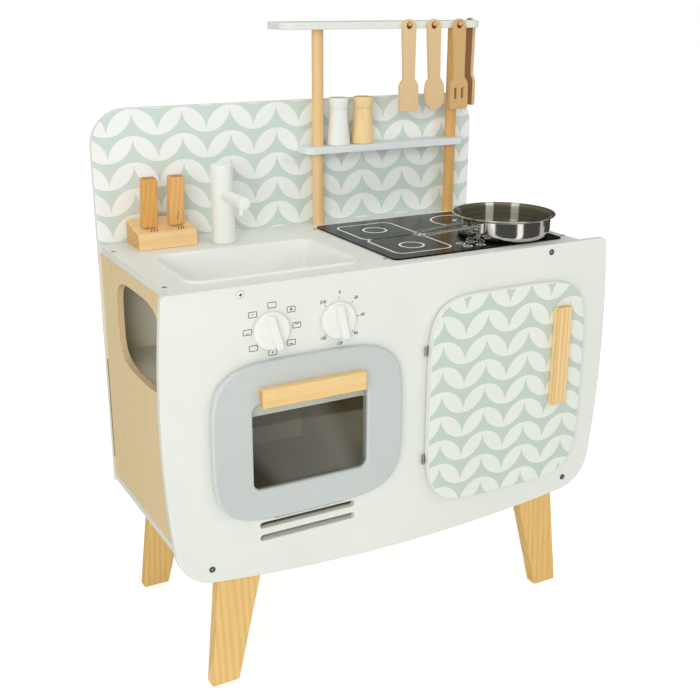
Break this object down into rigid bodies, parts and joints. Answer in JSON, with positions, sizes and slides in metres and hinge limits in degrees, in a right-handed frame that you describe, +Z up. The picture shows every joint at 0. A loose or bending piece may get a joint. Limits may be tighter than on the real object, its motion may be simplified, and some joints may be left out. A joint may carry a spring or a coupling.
{
  "type": "toy kitchen",
  "caption": "Child's wooden play kitchen on splayed legs with an oven, cupboard, sink, tap, hob, pan and a shelf rack with hanging utensils.",
  "frame": {"origin": "on the floor, under the centre of the bounding box", "axes": "+X to the viewer's right along the front, +Y from the front panel towards the back panel, +Z up"},
  "size_m": [0.612, 0.295, 0.753],
  "materials": {
    "white_plastic": "white satin plastic",
    "white_lacquer": "white satin lacquer on fibreboard",
    "sage_print": "sage lacquer printed with off-white leaves, satin",
    "veneer": "light tan veneer, fine vertical grain",
    "pine": "clear lacquered pine",
    "honey_wood": "clear lacquered honey-coloured wood",
    "dowel_wood": "clear lacquered turned wood",
    "beech": "plain beech",
    "pale_grey": "pale grey satin lacquer on fibreboard",
    "shelf_grey": "grey satin lacquer on fibreboard",
    "clear_pane": "clear acrylic",
    "basin_plastic": "fine grained light grey plastic",
    "charcoal_gloss": "glossy charcoal print with off-white lines",
    "polished_steel": "polished stainless steel",
    "plain_steel": "plain steel"
  },
  "bodies": {
    "cabinet": {"front_panel": "white_lacquer", "worktop": "white_lacquer", "back_panel": "sage_print", "bottom_panel": "white_lacquer", "left_side_panel": "veneer", "right_side_panel": "veneer", "centre_partition": "white_lacquer", "oven_roof_shelf": "white_lacquer", "upper_left_block": "pine", "upper_right_block": "pine", "lower_left_block": "pine", "lower_right_block": "pine", "upper_left_screw": "plain_steel", "upper_right_screw": "plain_steel", "lower_left_screw": "plain_steel", "lower_right_screw": "plain_steel", "front_left_leg": "pine", "front_right_leg": "pine", "rear_left_leg": "pine", "rear_right_leg": "pine", "hob_plate": "charcoal_gloss", "knife_block": "honey_wood", "left_dowel": "dowel_wood", "right_dowel": "dowel_wood", "middle_shelf": "shelf_grey", "top_shelf": "white_lacquer", "spatula_peg": "beech", "spoon_peg": "beech", "turner_peg": "beech", "scraper_peg": "beech", "oven_hinge_frame_leaf": "plain_steel", "upper_hinge_frame_leaf": "plain_steel", "lower_hinge_frame_leaf": "plain_steel"},
    "oven_door": {"oven_door": "pale_grey", "oven_window": "clear_pane", "oven_handle": "honey_wood", "oven_hinge_door_leaf": "plain_steel"},
    "cupboard_door": {"cupboard_door": "sage_print", "cupboard_handle": "honey_wood", "upper_hinge_door_leaf": "plain_steel", "lower_hinge_door_leaf": "plain_steel"},
    "left_knob": {"left_knob": "white_plastic", "left_knob_spindle": "plain_steel"},
    "right_knob": {"right_knob": "white_plastic", "right_knob_spindle": "plain_steel"},
    "tap": {"tap_column": "white_plastic", "tap_spout": "white_plastic", "tap_nozzle": "white_plastic"},
    "sink_basin": {"sink_basin": "basin_plastic"},
    "pan": {"pan_body": "polished_steel", "pan_handle": "polished_steel", "pan_bracket": "polished_steel"},
    "left_knife": {"left_knife": "dowel_wood"},
    "right_knife": {"right_knife": "dowel_wood"},
    "white_mill": {"white_mill": "white_lacquer"},
    "wooden_mill": {"wooden_mill": "dowel_wood"},
    "spatula": {"spatula": "beech"},
    "spoon": {"spoon": "beech"},
    "slotted_turner": {"slotted_turner": "beech"},
    "scraper": {"scraper": "beech"}
  },
  "joints": [
    {"name": "oven_door_hinge", "type": "hinge", "parent": "cabinet", "child": "oven_door", "pos_m": [-0.1315, -0.1277, 0.2108], "axis": [1, 0, 0], "range_deg": [0, 90]},
    {"name": "cupboard_door_hinge", "type": "hinge", "parent": "cabinet", "child": "cupboard_door", "pos_m": [0.0256, -0.1277, 0.31], "axis": [0, 0, -1], "range_deg": [0, 100]},
    {"name": "left_knob_turn", "type": "hinge", "parent": "cabinet", "child": "left_knob", "pos_m": [-0.176, -0.1255, 0.4365], "axis": [0, -1, 0], "continuous": true},
    {"name": "right_knob_turn", "type": "hinge", "parent": "cabinet", "child": "right_knob", "pos_m": [-0.093, -0.1255, 0.4365], "axis": [0, -1, 0], "continuous": true},
    {"name": "tap_swivel", "type": "hinge", "parent": "cabinet", "child": "tap", "pos_m": [-0.1445, 0.0785, 0.49], "axis": [0, 0, 1], "range_deg": [-80, 90]},
    {"name": "sink_basin_lift", "type": "slide", "parent": "cabinet", "child": "sink_basin", "axis": [0, 0, 1], "range_m": [0, 0.035]},
    {"name": "pan_lift", "type": "slide", "parent": "cabinet", "child": "pan", "axis": [0, 0, 1], "range_m": [0, 0.12]},
    {"name": "left_knife_lift", "type": "slide", "parent": "cabinet", "child": "left_knife", "axis": [0, -0.1392, 0.9903], "range_m": [0, 0.06]},
    {"name": "right_knife_lift", "type": "slide", "parent": "cabinet", "child": "right_knife", "axis": [0, -0.1392, 0.9903], "range_m": [0, 0.06]},
    {"name": "white_mill_lift", "type": "slide", "parent": "cabinet", "child": "white_mill", "axis": [0, 0, 1], "range_m": [0, 0.06]},
    {"name": "wooden_mill_lift", "type": "slide", "parent": "cabinet", "child": "wooden_mill", "axis": [0, 0, 1], "range_m": [0, 0.06]},
    {"name": "spatula_swing", "type": "hinge", "parent": "cabinet", "child": "spatula", "pos_m": [0.1271, 0.0892, 0.7465], "axis": [0, 1, 0], "range_deg": [-4, 22]},
    {"name": "spoon_swing", "type": "hinge", "parent": "cabinet", "child": "spoon", "pos_m": [0.1655, 0.0892, 0.7465], "axis": [0, 1, 0], "range_deg": [-4, 4]},
    {"name": "slotted_turner_swing", "type": "hinge", "parent": "cabinet", "child": "slotted_turner", "pos_m": [0.2056, 0.0892, 0.7465], "axis": [0, 1, 0], "range_deg": [-10, 4]},
    {"name": "scraper_swing", "type": "hinge", "parent": "cabinet", "child": "scraper", "pos_m": [0.2545, 0.1329, 0.7465], "axis": [1, 0, 0], "range_deg": [-25, 1]}
  ]
}
